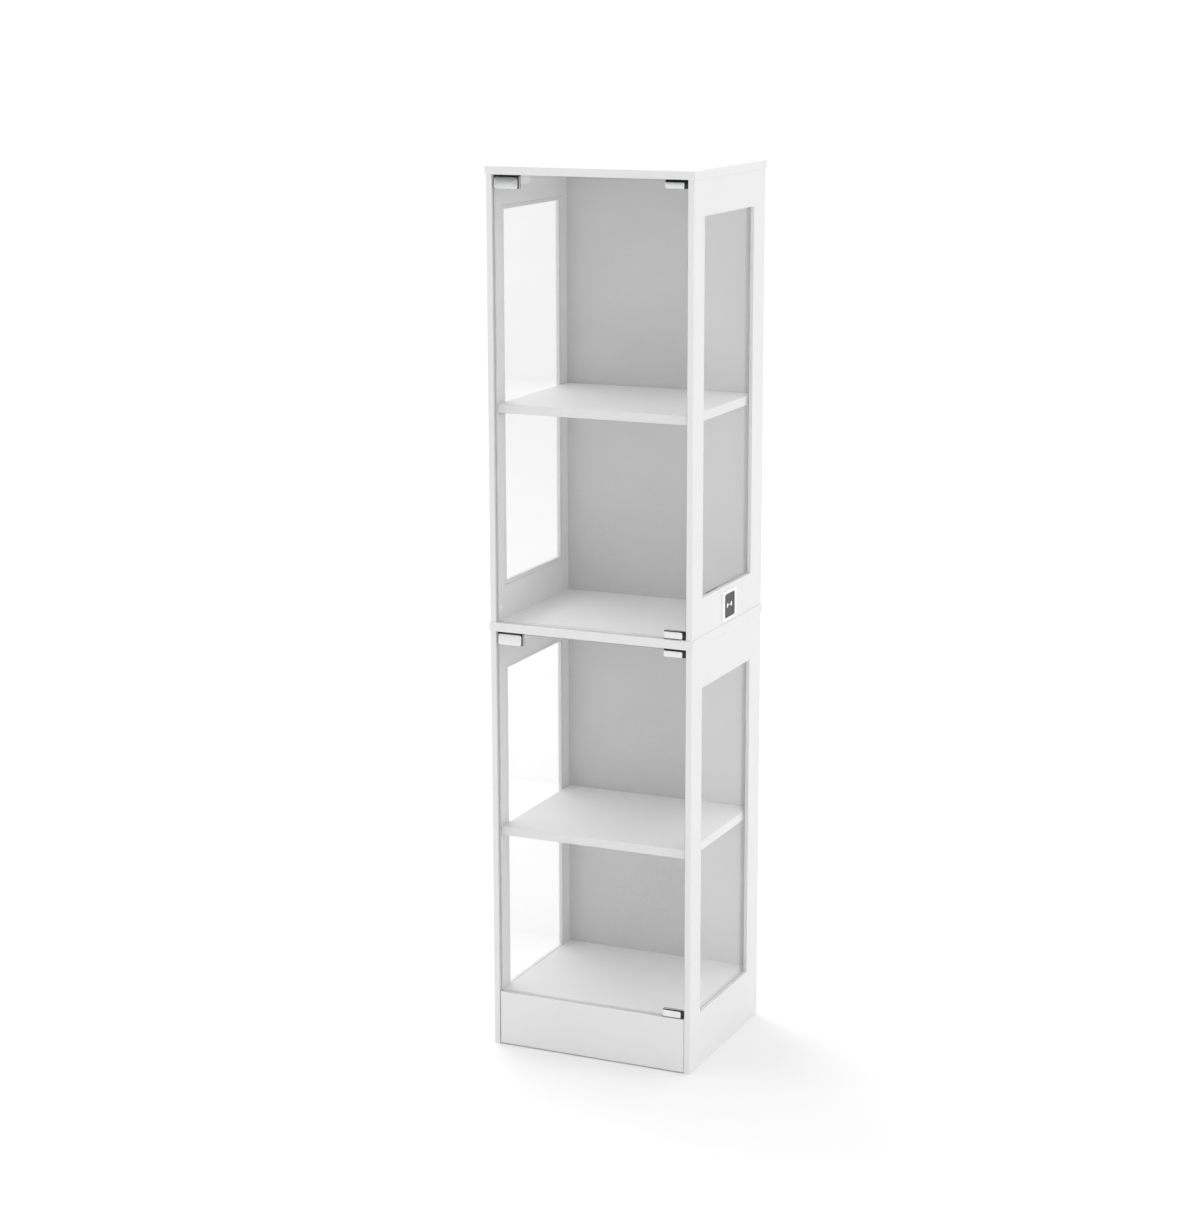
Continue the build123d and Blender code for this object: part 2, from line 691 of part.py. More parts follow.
with BuildPart() as socket_shutter:
    with BuildSketch(Plane.YZ.offset(insert_front_x - slot_depth)):
        with Locations(*slot_places):
            SlotOverall(slot_size[1] - 2 * shutter_play, slot_size[0] - 2 * shutter_play, rotation=90)
        with Locations((socket_y, socket_z)):
            Rectangle(slot_pitch, slot_link - 2 * shutter_play)
    extrude(amount=slot_depth - shutter_sink)
save(socket_shutter, "socket_shutter")

with BuildPart() as socket_housing:
    housing_x = (inner_x - housing_depth, inner_x)
    with BuildSketch(Plane.YZ.offset(housing_x[0])):
        with Locations((socket_y, socket_z)):
            RectangleRounded(*housing_size, 4)
    extrude(amount=housing_depth)
    offset(amount=-housing_wall, openings=socket_housing.faces().sort_by(Axis.X)[-1])
save(socket_housing, "socket_housing")
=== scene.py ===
"""Looks for the two-stage bookcase: materials, finer fittings, studio light, floor and camera.

Metres, in the CAD frame: X to the right, Y to the rear, Z up, origin on the floor.
"""

import math

import bmesh
import bpy
from mathutils import Matrix, Vector


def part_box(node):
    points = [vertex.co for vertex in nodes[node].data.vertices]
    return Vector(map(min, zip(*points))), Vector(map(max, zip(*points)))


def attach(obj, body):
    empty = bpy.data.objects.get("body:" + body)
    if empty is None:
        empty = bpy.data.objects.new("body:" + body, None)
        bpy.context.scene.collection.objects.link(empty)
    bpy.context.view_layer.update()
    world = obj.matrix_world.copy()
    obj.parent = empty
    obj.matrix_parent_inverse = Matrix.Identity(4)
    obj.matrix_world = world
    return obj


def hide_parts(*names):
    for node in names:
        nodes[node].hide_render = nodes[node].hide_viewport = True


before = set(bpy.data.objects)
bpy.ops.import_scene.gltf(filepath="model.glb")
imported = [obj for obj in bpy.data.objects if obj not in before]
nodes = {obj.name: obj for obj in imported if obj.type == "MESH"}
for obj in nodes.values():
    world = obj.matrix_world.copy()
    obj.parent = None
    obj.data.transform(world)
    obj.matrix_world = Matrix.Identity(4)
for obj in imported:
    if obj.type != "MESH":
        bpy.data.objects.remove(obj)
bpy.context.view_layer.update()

scene = bpy.context.scene

MM = 0.001
STAGES = ("upper", "lower")
SIDES = ("left", "right")
X, Y, Z = Vector((1, 0, 0)), Vector((0, 1, 0)), Vector((0, 0, 1))


# Materials


class Shader:
    """A material's node tree, with short calls for what the materials here need."""

    def __init__(self, name):
        self.material = bpy.data.materials.new(name)
        self.material.use_nodes = True
        self.tree = self.material.node_tree
        self.surface = self.tree.nodes["Principled BSDF"]
        self.output = self.tree.nodes["Material Output"]
        self.where = self.add("ShaderNodeTexCoord").outputs["Object"]

    def add(self, kind, **inputs):
        node = self.tree.nodes.new(kind)
        for key, value in inputs.items():
            node.inputs[key.replace("_", " ")].default_value = value
        return node

    def link(self, start, end):
        self.tree.links.new(start, end)

    def stretched(self, scale):
        """The object coordinates, scaled along each axis."""
        mapping = self.add("ShaderNodeMapping", Scale=scale)
        self.link(self.where, mapping.inputs["Vector"])
        return mapping.outputs["Vector"]

    def noise(self, scale, detail=3.0, rough=0.5, where=None):
        node = self.add("ShaderNodeTexNoise", Scale=scale, Detail=detail, Roughness=rough)
        self.link(where or self.where, node.inputs["Vector"])
        return node.outputs["Fac"]

    def ramp(self, factor, low, high, start=0.3, end=0.7):
        """A colour, or a grey for a number, from low to high as factor goes from start to end."""
        node = self.add("ShaderNodeValToRGB")
        self.link(factor, node.inputs["Fac"])
        for stop, place, shade in zip(node.color_ramp.elements, (start, end), (low, high)):
            stop.position = place
            stop.color = (*shade, 1) if isinstance(shade, tuple) else (shade, shade, shade, 1)
        return node.outputs["Color"]

    def bump(self, height, depth, strength=1.0, below=None):
        node = self.add("ShaderNodeBump", Strength=strength, Distance=depth)
        self.link(height, node.inputs["Height"])
        if below:
            self.link(below, node.inputs["Normal"])
        return node.outputs["Normal"]

    def set(self, **inputs):
        """Each input gets a constant, or a link if the value is a socket."""
        for key, value in inputs.items():
            socket = self.surface.inputs[key.replace("_", " ")]
            if isinstance(value, bpy.types.NodeSocket):
                self.link(value, socket)
            else:
                socket.default_value = value
        return self.material


def painted_board(name, low, high, grain_depth):
    """Sprayed white paint on fibreboard: faint clouding, a fine orange peel and a slow waviness."""
    made = Shader(name)
    clouds = made.noise(6.0, 4.0)
    peel = made.noise(900.0, 2.0)
    waves = made.noise(14.0, 2.0)
    slow = made.bump(waves, 0.25 * MM, 0.25)
    return made.set(
        Base_Color=made.ramp(clouds, low, high),
        Roughness=made.ramp(made.noise(60.0, 3.0), 0.42, 0.52),
        Normal=made.bump(peel, grain_depth, 0.35, slow),
        Specular_IOR_Level=0.4,
    )


def clear_glass(name, tint, lamp_tint):
    """Float glass. Lamps and bounced light pass straight through it, dimmed to lamp_tint."""
    made = Shader(name)
    smears = made.noise(5.0, 3.0)
    glass = made.set(
        Base_Color=tint,
        Transmission_Weight=1.0,
        IOR=1.5,
        Roughness=made.ramp(smears, 0.0, 0.012),
    )
    through = made.add("ShaderNodeBsdfTransparent", Color=lamp_tint)
    path = made.add("ShaderNodeLightPath")
    either = made.add("ShaderNodeMath")
    either.operation = "MAXIMUM"
    made.link(path.outputs["Is Shadow Ray"], either.inputs[0])
    made.link(path.outputs["Is Diffuse Ray"], either.inputs[1])
    mix = made.add("ShaderNodeMixShader")
    made.link(either.outputs[0], mix.inputs["Fac"])
    made.link(made.surface.outputs["BSDF"], mix.inputs[1])
    made.link(through.outputs["BSDF"], mix.inputs[2])
    made.link(mix.outputs["Shader"], made.output.inputs["Surface"])
    return glass


def metal(name, colour, rough_low, rough_high, brushed=None, depth=0.01 * MM):
    """Polished or plated metal. brushed is the scale of its lines along each axis."""
    made = Shader(name)
    where = made.stretched(brushed) if brushed else None
    grain = made.noise(700.0 if brushed else 240.0, 3.0, where=where)
    return made.set(
        Base_Color=made.ramp(made.noise(40.0), tuple(0.94 * c for c in colour), colour),
        Metallic=1.0,
        Roughness=made.ramp(grain, rough_low, rough_high),
        Normal=made.bump(grain, depth, 0.2),
    )


def plastic(name, low, high, rough_low, rough_high, texture=0.03 * MM):
    """Moulded plastic with a fine spark-eroded texture."""
    made = Shader(name)
    spark = made.noise(1600.0, 2.0)
    return made.set(
        Base_Color=made.ramp(made.noise(30.0), low, high),
        Roughness=made.ramp(made.noise(90.0), rough_low, rough_high),
        Normal=made.bump(spark, texture, 0.4),
        Specular_IOR_Level=0.5,
    )


def beech_wood(name):
    """Turned beech, with its grain along Z."""
    made = Shader(name)
    grain = made.noise(300.0, 4.0, 0.6, made.stretched((1.0, 1.0, 0.08)))
    return made.set(
        Base_Color=made.ramp(grain, (0.55, 0.36, 0.2), (0.76, 0.57, 0.38)),
        Roughness=made.ramp(grain, 0.7, 0.55),
        Normal=made.bump(grain, 0.1 * MM, 0.5),
    )


board_paint = painted_board("board_paint", (0.795, 0.796, 0.794), (0.82, 0.821, 0.819), 0.03 * MM)
# The back panel's paint is a darker copy of the boards' white paint: painted shade for the inside of
# the case.
back_paint_with_painted_shade = painted_board("back_paint_with_painted_shade", (0.585, 0.585, 0.585), (0.615, 0.615, 0.615), 0.05 * MM)
door_glass_mat = clear_glass("door_glass_clear", (0.985, 0.985, 0.985, 1), (0.97, 0.97, 0.97, 1))
pane_glass_mat = clear_glass("pane_glass_clear", (0.99, 0.99, 0.99, 1), (0.97, 0.97, 0.97, 1))
ground_edge = plastic("ground_glass_edge", (0.6, 0.62, 0.61), (0.72, 0.74, 0.73), 0.5, 0.65, 0.05 * MM)
enamel = plastic("white_enamel", (0.78, 0.78, 0.78), (0.81, 0.81, 0.81), 0.3, 0.4, 0.01 * MM)
chrome = metal("satin_chrome", (0.82, 0.825, 0.83), 0.2, 0.27)
# Near-black colour for the clip bodies: painted shade and painted dark reflection along the clips'
# tops and right sides.
clip_body_painted_shade_and_reflection = metal("clip_body_painted_shade_and_reflection", (0.045, 0.045, 0.048), 0.2, 0.3)
zinc = metal("zinc_plate", (0.62, 0.63, 0.64), 0.28, 0.42, depth=0.02 * MM)
magnet_steel = metal("nickel_magnet", (0.5, 0.49, 0.47), 0.25, 0.35)
white_plastic = plastic("white_plastic", (0.86, 0.86, 0.85), (0.9, 0.9, 0.89), 0.38, 0.48)
bezel_plastic = plastic("bezel_plastic", (0.96, 0.96, 0.96), (0.98, 0.98, 0.98), 0.25, 0.33, 0.02 * MM)
dark_plastic = plastic("dark_plastic", (0.035, 0.035, 0.037), (0.048, 0.048, 0.05), 0.4, 0.5)
white_tape = plastic("white_tape", (0.78, 0.78, 0.78), (0.84, 0.84, 0.84), 0.7, 0.8)
beech = beech_wood("beech_dowel")

node_materials = {
    "side_panel": board_paint,
    "top_board": board_paint,
    "middle_board": board_paint,
    "bottom_board": board_paint,
    "toe_kick": board_paint,
    "shelf_upper": board_paint,
    "shelf_lower": board_paint,
    "corner_blocks": board_paint,
    "back_panel": back_paint_with_painted_shade,
    "side_pane_": pane_glass_mat,
    "door_glass": door_glass_mat,
    "hinge_clip": clip_body_painted_shade_and_reflection,
    "strike_clip": clip_body_painted_shade_and_reflection,
    "clip_covers": chrome,
    "hinge_pins": zinc,
    "hinge_bushes": white_plastic,
    "clip_liners": white_plastic,
    "grub_screws": zinc,
    "shelf_pins": zinc,
    "cam_locks": zinc,
    "cam_bolts": zinc,
    "cam_caps": white_plastic,
    "corner_block_screws": zinc,
    "wall_bracket": zinc,
    "latch_housing": white_plastic,
    "latch_plunger": white_plastic,
    "latch_screws": zinc,
    "latch_magnet": magnet_steel,
    "dowels": beech,
    "glazing_tapes": white_tape,
    "socket_bezel": bezel_plastic,
    "socket_insert": dark_plastic,
    "socket_housing": dark_plastic,
    "socket_shutter": bezel_plastic,
}
for name, obj in nodes.items():
    prefix = max((p for p in node_materials if name.startswith(p)), key=len)
    obj.data.materials.clear()
    obj.data.materials.append(node_materials[prefix])

EASED_BOARDS = (
    "side_panel",
    "top_board",
    "middle_board",
    "bottom_board",
    "toe_kick",
    "shelf_upper",
    "shelf_lower",
)
EASED_WIDTH = 0.35 * MM
EDGE_ANGLE = math.radians(50)  # faces that meet at more than this have an edge to ease or grind
for name, obj in nodes.items():
    if name.startswith(EASED_BOARDS):
        eased = obj.modifiers.new("eased_edges", "BEVEL")
        eased.width = EASED_WIDTH
        eased.segments = 2
        eased.limit_method = "ANGLE"
        eased.angle_limit = EDGE_ANGLE
        eased.harden_normals = True


# Shapes


CREASE_ANGLE = math.radians(32)


def piece(name, bm, materials, body, replaced):
    """Makes a shown piece from bm, which rides on body and stands for the CAD nodes in replaced.

    materials is one material, or several for the faces' material indices.
    """
    bmesh.ops.recalc_face_normals(bm, faces=bm.faces)
    mesh = bpy.data.meshes.new(name)
    bm.to_mesh(mesh)
    bm.free()
    for material in materials if isinstance(materials, tuple) else (materials,):
        mesh.materials.append(material)
    obj = bpy.data.objects.new(name, mesh)
    scene.collection.objects.link(obj)
    for face in mesh.polygons:
        face.use_smooth = True
    mesh.set_sharp_from_angle(angle=CREASE_ANGLE)
    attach(obj, body)
    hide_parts(*replaced)
    return obj


def faces_of(bm, corners, loops):
    """Adds faces over points, given as lists of indices, and returns the new vertices."""
    verts = [bm.verts.new(p) for p in corners]
    for loop in loops:
        bm.faces.new([verts[i] for i in loop])
    return verts


def soften(bm, verts, radius):
    """Rounds every edge between these vertices."""
    edges = {e for v in verts for e in v.link_edges}
    bmesh.ops.bevel(
        bm, geom=[*verts, *edges], offset=radius, segments=3, profile=0.5, affect="EDGES"
    )


def sharp_edges(bm, angle):
    """The edges whose two faces turn by more than angle."""
    return [e for e in bm.edges if len(e.link_faces) == 2 and e.calc_face_angle() > angle]


def lathe(bm, start, axis, profile, steps=32):
    """Turns a profile of (distance along axis, radius) round the axis through start.

    An end at radius 0 closes the shape.
    """
    axis = Vector(axis).normalized()
    side = axis.orthogonal().normalized()
    other = axis.cross(side)
    rings = []
    for along, radius in profile:
        middle = Vector(start) + axis * along
        if radius == 0:
            rings.append([bm.verts.new(middle)])
            continue
        turns = [2 * math.pi * i / steps for i in range(steps)]
        rings.append(
            [bm.verts.new(middle + radius * (math.cos(t) * side + math.sin(t) * other)) for t in turns]
        )
    for ring, following in zip(rings, rings[1:]):
        for i in range(steps):
            j = (i + 1) % steps
            loop = [ring[i % len(ring)], ring[j % len(ring)], following[j % len(following)]]
            loop.append(following[i % len(following)])
            bm.faces.new(list(dict.fromkeys(loop)))


def rounded_outline(half_w, half_h, radius, steps=8):
    """Points of a rounded rectangle round the origin, counter-clockwise."""
    points = []
    for quarter, (sx, sy) in enumerate(((1, 1), (-1, 1), (-1, -1), (1, -1))):
        for i in range(steps + 1):
            turn = math.pi / 2 * (quarter + i / steps)
            points.append(
                (
                    sx * (half_w - radius) + radius * math.cos(turn),
                    sy * (half_h - radius) + radius * math.sin(turn),
                )
            )
    return points


def loft(bm, rings, joined=False):
    """Skins over rings of points, all with as many points, and returns the rings' vertices.

    The last ring is joined to the first, or else both are closed.
    """
    made = [[bm.verts.new(p) for p in ring] for ring in rings]
    if joined:
        made.append(made[0])
    for ring, following in zip(made, made[1:]):
        for i in range(len(ring)):
            j = (i + 1) % len(ring)
            bm.faces.new((ring[i], ring[j], following[j], following[i]))
    if not joined:
        bm.faces.new(made[0])
        bm.faces.new(made[-1])
    return made


def cut(obj, cutter_bm):
    """Takes the shape in cutter_bm out of a piece for good."""
    mesh = bpy.data.meshes.new("cutter")
    bmesh.ops.recalc_face_normals(cutter_bm, faces=cutter_bm.faces)
    cutter_bm.to_mesh(mesh)
    cutter_bm.free()
    cutter = bpy.data.objects.new("cutter", mesh)
    scene.collection.objects.link(cutter)
    modifier = obj.modifiers.new("cut", "BOOLEAN")
    modifier.operation = "DIFFERENCE"
    modifier.solver = "EXACT"
    modifier.object = cutter
    bpy.context.view_layer.update()
    shaped = obj.evaluated_get(bpy.context.evaluated_depsgraph_get())
    solid = bpy.data.meshes.new_from_object(shaped)
    obj.modifiers.remove(modifier)
    old = obj.data
    obj.data = solid
    solid.name = obj.name
    bpy.data.meshes.remove(old)
    bpy.data.objects.remove(cutter)
    bpy.data.meshes.remove(mesh)
    obj.data.set_sharp_from_angle(angle=CREASE_ANGLE)


# Glass clips: a body round the edge of the glass, coloured near-black as painted shade and painted
# dark reflection, and a bright cover on its front


GRUB_R = 2.0 * MM
LINER_T = 0.5 * MM
BRIDGE_T = 2.2 * MM
CORE_TO_PIVOT = 5.5 * MM
BROW_R = 3.0 * MM
HINGE_GRUB_IN, STRIKE_GRUB_IN = 11.5 * MM, 12.5 * MM  # from a clip's end
GRUB_DROP = 1.0 * MM  # from a clip's middle, away from the board
HINGE_CROWN, STRIKE_CROWN, STRIKE_LEAN = 0.2 * MM, 0.15 * MM, 0.85 * MM


def clip(name, stage, way, core_x, grub_x, grub_z, edge, brow=0.0):
    """A clip's body over the edge of the glass.

    way is +1 at the door's top edge and -1 at its lower edge. brow is the radius along the
    front of the clip's top.
    """
    low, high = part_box(name)
    glass_low, glass_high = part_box(f"door_glass_{stage}")
    outer_z, inner_z = (high.z, low.z) if way > 0 else (low.z, high.z)
    slot_z = outer_z - way * BRIDGE_T
    slot_y = (glass_low.y - LINER_T, glass_high.y + LINER_T)
    through = core_x >= high.x
    bm = bmesh.new()
    corners = [
        (low.x, low.y, outer_z),
        (low.x, high.y, outer_z),
        (high.x, high.y, outer_z),
        (high.x, low.y, outer_z),
        (low.x, low.y, inner_z),
        (low.x, high.y, inner_z),
        (high.x, high.y, inner_z),
        (high.x, low.y, inner_z),
    ]
    slot_x = (low.x, min(core_x, high.x))
    corners += [(x, y, z) for x in slot_x for y in slot_y for z in (inner_z, slot_z)]
    loops = [
        (0, 1, 2, 3),
        (0, 3, 7, 4),
        (1, 5, 6, 2),
        (0, 4, 8, 9, 11, 10, 5, 1),
        (8, 12, 13, 9),
        (10, 11, 15, 14),
        (9, 13, 15, 11),
    ]
    if through:
        loops += [(3, 2, 6, 14, 15, 13, 12, 7), (4, 7, 12, 8), (5, 10, 14, 6)]
    else:
        loops += [(3, 2, 6, 7), (12, 14, 15, 13), (4, 7, 6, 5, 10, 14, 12, 8)]
    verts = faces_of(bm, corners, loops)
    if brow:
        front_top = [e for e in verts[0].link_edges if e.other_vert(verts[0]) is verts[3]]
        bmesh.ops.bevel(bm, geom=front_top, offset=brow, segments=8, profile=0.5, affect="EDGES")
        bmesh.ops.recalc_face_normals(bm, faces=bm.faces)
        sharp = sharp_edges(bm, math.radians(40))
        bmesh.ops.bevel(bm, geom=sharp, offset=edge, segments=2, profile=0.5, affect="EDGES")
    else:
        soften(bm, verts, edge)
    made = piece(f"{name}_body", bm, clip_body_painted_shade_and_reflection, f"door_{stage}", [name])
    holes = bmesh.new()
    reach = high.y - slot_y[1] + 1.0 * MM
    for x in grub_x:
        bore = (
            (0, 0),
            (0, GRUB_R + 0.6 * MM),
            (0.5 * MM, GRUB_R + 0.5 * MM),
            (0.95 * MM, GRUB_R + 0.02 * MM),
            (reach, GRUB_R + 0.02 * MM),
            (reach, 0),
        )
        lathe(holes, (x, high.y + 0.5 * MM, grub_z), -Y, bore)
    cut(made, holes)


def cover(bm, low_x, high_x, low_z, high_z, front_y, back_y, crown, lean=0.0):
    """A pillowed plate with a rounded rim, whose front reaches front_y.

    crown is how far its middle stands proud of its rim, and its top leans back by lean.
    """
    middle_x, middle_z = (low_x + high_x) / 2, (low_z + high_z) / 2
    half_w, half_h = (high_x - low_x) / 2, (high_z - low_z) / 2
    rim = 0.3 * MM
    rim_y = front_y + crown
    turns = [math.pi / 2 * i / 4 for i in range(5)]
    steps = [(0.0, back_y)]
    steps += [(rim * (1 - math.cos(t)), rim_y + rim * (1 - math.sin(t))) for t in turns]
    for part in (0.12, 0.25, 0.4, 0.55, 0.7, 0.85, 0.97):
        inset = rim + (half_h - rim) * part
        steps.append((inset, front_y + crown * (1 - part) ** 2))
    rings = []
    for inset, y in steps:
        radius = max(1.0 * MM - inset, (half_h - inset) * 0.35)
        radius = min(radius, half_h - inset - 0.01 * MM)
        outline = rounded_outline(half_w - inset, half_h - inset, radius, 4)
        ring = []
        for u, v in outline:
            up = 0.5 + 0.5 * v / half_h
            ring.append((middle_x + u, y if y == back_y else y + lean * up * up, middle_z + v))
        rings.append(ring)
    loft(bm, rings)


def part_boxes(name):
    """The box of each loose part of a CAD node, from the lowest part up."""
    bm = bmesh.new()
    bm.from_mesh(nodes[name].data)
    bmesh.ops.remove_doubles(bm, verts=bm.verts, dist=1e-6)
    left, boxes = set(bm.verts), []
    while left:
        found, reached = set(), [left.pop()]
        while reached:
            vert = reached.pop()
            found.add(vert)
            for edge in vert.link_edges:
                other = edge.other_vert(vert)
                if other in left:
                    left.remove(other)
                    reached.append(other)
        spots = [tuple(v.co) for v in found]
        boxes.append((Vector(map(min, zip(*spots))), Vector(map(max, zip(*spots)))))
    bm.free()
    return sorted(boxes, key=lambda box: box[0].z)


for stage in STAGES:
    pin_low, pin_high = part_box(f"hinge_pins_{stage}")
    core_x = (pin_low.x + pin_high.x) / 2 - CORE_TO_PIVOT
    covers = bmesh.new()
    for low, high in part_boxes(f"clip_covers_{stage}"):
        crown, lean = (STRIKE_CROWN, STRIKE_LEAN) if low.x < 0 else (HINGE_CROWN, 0.0)
        cover(covers, low.x, high.x, low.z, high.z, low.y, high.y, crown, lean)
    name = f"clip_covers_{stage}"
    piece(f"{name}_crowned", covers, chrome, f"door_{stage}", [name])
    for word, way in (("top", 1), ("bottom", -1)):
        name = f"hinge_clip_{stage}_{word}"
        low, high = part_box(name)
        grub_z = (low.z + high.z) / 2 - way * GRUB_DROP
        clip(name, stage, way, core_x, (low.x + HINGE_GRUB_IN,), grub_z, 0.4 * MM)
    name = f"strike_clip_{stage}"
    low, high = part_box(name)
    grub_x = (low.x + STRIKE_GRUB_IN, high.x - STRIKE_GRUB_IN)
    grub_z = (low.z + high.z) / 2 - GRUB_DROP
    clip(name, stage, 1, high.x, grub_x, grub_z, 0.25 * MM, BROW_R)


# Glass: the doors' ground edges, and the enamel round the side panes that hides their tape


PANE_LAP = 7.5 * MM  # of a pane lies outside its window
ENAMEL_OUT = 0.3 * MM  # from the window's edge to the enamel's
PANE_R = 5.0 * MM
PANE_ARRIS = 0.2 * MM
ARRIS_SHARE = 0.05  # of the pane's thickness

for stage in STAGES:
    bm = bmesh.new()
    bm.from_mesh(nodes[f"door_glass_{stage}"].data)
    bmesh.ops.remove_doubles(bm, verts=bm.verts, dist=1e-6)
    bmesh.ops.dissolve_limit(bm, angle_limit=math.radians(1), verts=bm.verts, edges=bm.edges)
    rims = sharp_edges(bm, EDGE_ANGLE)
    bmesh.ops.bevel(bm, geom=rims, offset=0.3 * MM, segments=1, affect="EDGES")
    bm.normal_update()
    for face in bm.faces:
        face.material_index = 1 if abs(face.normal.y) < 0.95 else 0
    glazed = (door_glass_mat, ground_edge)
    name = f"door_glass_{stage}"
    piece(f"{name}_arrised", bm, glazed, f"door_{stage}", [name])
    for side in SIDES:
        name = f"side_pane_{stage}_{side}"
        low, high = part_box(name)
        inner_x, outer_x = (high.x, low.x) if side == "left" else (low.x, high.x)
        middle_y, middle_z = (low.y + high.y) / 2, (low.z + high.z) / 2
        half_y, half_z = (high.y - low.y) / 2, (high.z - low.z) / 2
        rings = []
        for x, inset, radius in (
            (outer_x, PANE_ARRIS, PANE_R - PANE_ARRIS),
            (outer_x + (inner_x - outer_x) * ARRIS_SHARE, 0.0, PANE_R),
            (inner_x + (outer_x - inner_x) * ARRIS_SHARE, 0.0, PANE_R),
            (inner_x, PANE_ARRIS, PANE_R - PANE_ARRIS),
            (inner_x, PANE_LAP - ENAMEL_OUT, 0.1 * MM),
        ):
            outline = rounded_outline(half_y - inset, half_z - inset, radius, 5)
            rings.append([(x, middle_y + u, middle_z + v) for u, v in outline])
        bm = bmesh.new()
        made = loft(bm, rings)
        border = set(made[2]) | set(made[3])
        for face in bm.faces:
            face.material_index = 1 if any(v in border for v in face.verts) else 0
        piece(f"{name}_enamelled", bm, (pane_glass_mat, enamel), "carcass", [name])


# Socket: a bezel with a rounded rim, and an insert with two slots


SOCKET_R = 5.0 * MM
BEZEL_ROUND, INSERT_ROUND = 1.5 * MM, 0.8 * MM
ROUND_STEPS = 5


def socket_ring(half_y, half_z, x, inset, radius):
    """A rounded rectangle round the socket's middle, in a plane of constant x."""
    outline = rounded_outline(half_y - inset, half_z - inset, max(radius - inset, 0.3 * MM), 6)
    return [(x, socket.y + u, socket.z + v) for u, v in outline]


def rounded_front(low, high, radius):
    """Rings for a plate round the socket's middle, from its back to its rounded front edge."""
    half_y, half_z = (high.y - low.y) / 2, (high.z - low.z) / 2
    rings = [socket_ring(half_y, half_z, low.x, 0.0, SOCKET_R)]
    for i in range(ROUND_STEPS + 1):
        turn = math.pi / 2 * i / ROUND_STEPS
        x = high.x - radius * (1 - math.sin(turn))
        rings.append(socket_ring(half_y, half_z, x, radius * (1 - math.cos(turn)), SOCKET_R))
    return rings


low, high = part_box("socket_bezel")
in_low, in_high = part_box("socket_insert")
socket = (low + high) / 2
hole_y, hole_z = (in_high.y - in_low.y) / 2 + 0.1 * MM, (in_high.z - in_low.z) / 2 + 0.1 * MM
rings = rounded_front(low, high, BEZEL_ROUND)
for x, outset, radius in (
    (high.x, 1.2 * MM, 6.2 * MM),
    (high.x - 0.15 * MM, 0.4 * MM, 5.5 * MM),
    (high.x - 0.5 * MM, 0.0, 5.1 * MM),
    (low.x, 0.0, 5.1 * MM),
):
    rings.append(socket_ring(hole_y, hole_z, x, -outset, radius))
bm = bmesh.new()
loft(bm, rings, joined=True)
piece("socket_bezel_moulded", bm, bezel_plastic, "carcass", ["socket_bezel"])

half_y, half_z = (in_high.y - in_low.y) / 2, (in_high.z - in_low.z) / 2
rings = rounded_front(in_low, in_high, INSERT_ROUND)
for inset, radius in ((3.5 * MM, 5 * MM), (6.5 * MM, 7 * MM)):
    rings.append(socket_ring(half_y, half_z, in_high.x - 0.25 * MM, inset, radius))
bm = bmesh.new()
loft(bm, rings)
name = "socket_insert"
insert = piece(f"{name}_moulded", bm, dark_plastic, "carcass", [name])

SLOT_W, SLOT_DEPTH = 8.5 * MM, 4.0 * MM
LINK_H = 1.6 * MM  # of the channel that joins the slots
SHUTTER_PLAY = 0.05 * MM
shut_low, shut_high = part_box("socket_shutter")
slot_h = shut_high.z - shut_low.z + 2 * SHUTTER_PLAY
slot_y = (shut_low.y - SHUTTER_PLAY + SLOT_W / 2, shut_high.y + SHUTTER_PLAY - SLOT_W / 2)
for y in (*slot_y, socket.y):
    cutter = bmesh.new()
    if y == socket.y:
        outline = rounded_outline((slot_y[1] - slot_y[0]) / 2, LINK_H / 2, 0.1 * MM, 2)
    else:
        outline = rounded_outline(SLOT_W / 2, slot_h / 2, SLOT_W / 2 - 0.01 * MM, 8)
    ends = (in_high.x - SLOT_DEPTH, in_high.x + 1.0 * MM)
    loft(cutter, [[(x, y + u, socket.z + v) for u, v in outline] for x in ends])
    cut(insert, cutter)


# Small fittings


INNER_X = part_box("side_pane_upper_right")[0].x - 0.1 * MM
SCREW_R = 1.5 * MM
HEAD_R, HEAD_H = 2.9 * MM, 1.8 * MM
CLEAR_R = 1.7 * MM  # of a hole that a screw passes through


def screws(name, places):
    """Pan-head screws with a cross recess, from (head, way, length) each."""
    bm, recesses = bmesh.new(), (bmesh.new(), bmesh.new())
    for head, way, length in places:
        tip = length - 2.5 * MM
        profile = [(0, 0), (0, 1.0 * MM), (0.12 * MM, 1.8 * MM), (0.45 * MM, 2.5 * MM)]
        profile += [(0.95 * MM, HEAD_R), (HEAD_H, HEAD_R), (HEAD_H, SCREW_R)]
        profile += [(tip, SCREW_R), (length, 0)]
        lathe(bm, head, way, profile, 24)
        way = Vector(way)
        across = way.orthogonal().normalized()
        for recess, wide in zip(recesses, (across, way.cross(across))):
            thin = way.cross(wide)
            ends = []
            for depth, half in ((-0.5 * MM, 1.9 * MM), (1.4 * MM, 1.1 * MM)):
                middle = Vector(head) + way * depth
                signs = ((-1, -1), (1, -1), (1, 1), (-1, 1))
                ends.append([middle + wide * a * half + thin * b * 0.4 * MM for a, b in signs])
            loft(recess, ends)
    made = piece(f"{name}_turned", bm, zinc, "carcass", [name])
    for recess in recesses:
        cut(made, recess)


plunger = {}
for stage in STAGES:
    low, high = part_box(f"latch_plunger_{stage}")
    plunger[stage] = (low + high) / 2
housing = {stage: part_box(f"latch_housing_{stage}") for stage in STAGES}
COUNTERBORE, COUNTERBORE_R = 3.0 * MM, 3.1 * MM
SCREW_ROWS = (-126.0 * MM, -113.0 * MM)

